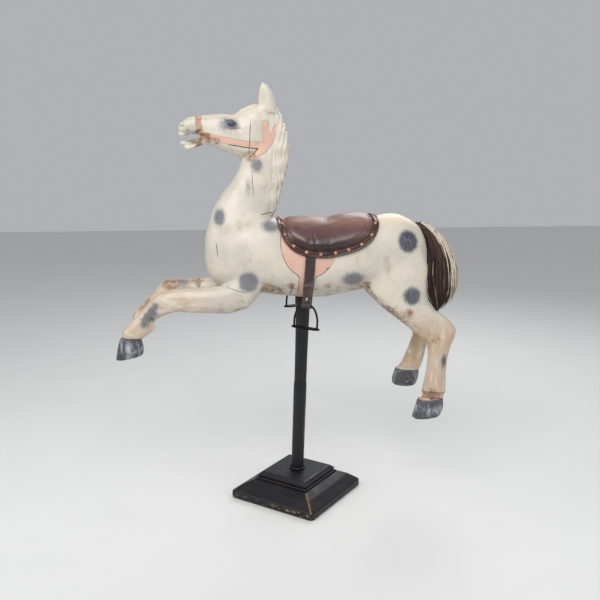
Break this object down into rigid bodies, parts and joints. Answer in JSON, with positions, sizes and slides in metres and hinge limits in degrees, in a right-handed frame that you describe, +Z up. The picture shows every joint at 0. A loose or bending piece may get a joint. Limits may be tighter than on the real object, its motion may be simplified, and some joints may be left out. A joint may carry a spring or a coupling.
{
  "type": "carousel horse",
  "caption": "Painted wooden carousel horse leaping with open mouth, padded leather saddle, hanging stirrups and horsehair tail, on a round pole and square moulded base.",
  "frame": {"origin": "centre of the base's underside, on the floor", "axes": "+Z up; the horse faces -X and its left side is towards -Y"},
  "size_m": [1.271, 0.5022, 1.538],
  "materials": {
    "painted_wood": "worn oil paint over carved wood, cream with blue-grey dapples",
    "saddle_leather": "worn satin leather, reddish brown",
    "trim_leather": "dark leather band with piped edges",
    "strap_leather": "dry dark leather",
    "copper_nails": "dull copper-coloured domes",
    "rivet_steel": "pale dull rivet",
    "stirrup_iron": "black painted iron",
    "horsehair": "coarse dark horsehair with blond ends",
    "pole_paint": "black paint, worn",
    "base_paint": "black paint on moulded wood, worn through at edges"
  },
  "bodies": {
    "root": {"base_cap": "base_paint", "base_plinth": "base_paint", "horse": "painted_wood", "pole": "pole_paint", "pole_collar": "pole_paint", "pole_foot_ring": "pole_paint", "saddle_nail_01": "copper_nails", "saddle_nail_02": "copper_nails", "saddle_nail_03": "copper_nails", "saddle_nail_04": "copper_nails", "saddle_nail_05": "copper_nails", "saddle_nail_06": "copper_nails", "saddle_nail_07": "copper_nails", "saddle_nail_08": "copper_nails", "saddle_nail_09": "copper_nails", "saddle_nail_10": "copper_nails", "saddle_nail_11": "copper_nails", "saddle_nail_12": "copper_nails", "saddle_nail_13": "copper_nails", "saddle_nail_14": "copper_nails", "saddle_nail_15": "copper_nails", "saddle_nail_16": "copper_nails", "saddle_nail_17": "copper_nails", "saddle_nail_18": "copper_nails", "saddle_nail_19": "copper_nails", "saddle_nail_20": "copper_nails", "saddle_nail_21": "copper_nails", "saddle_nail_22": "copper_nails", "saddle_nail_23": "copper_nails", "saddle_nail_24": "copper_nails", "saddle_pad": "saddle_leather", "saddle_trim": "trim_leather", "stirrup_iron_left": "stirrup_iron", "stirrup_iron_right": "stirrup_iron", "stirrup_strap_left": "strap_leather", "stirrup_strap_right": "strap_leather", "strap_rivet_left": "rivet_steel", "strap_rivet_right": "rivet_steel", "tail": "horsehair"}
  },
  "joints": []
}
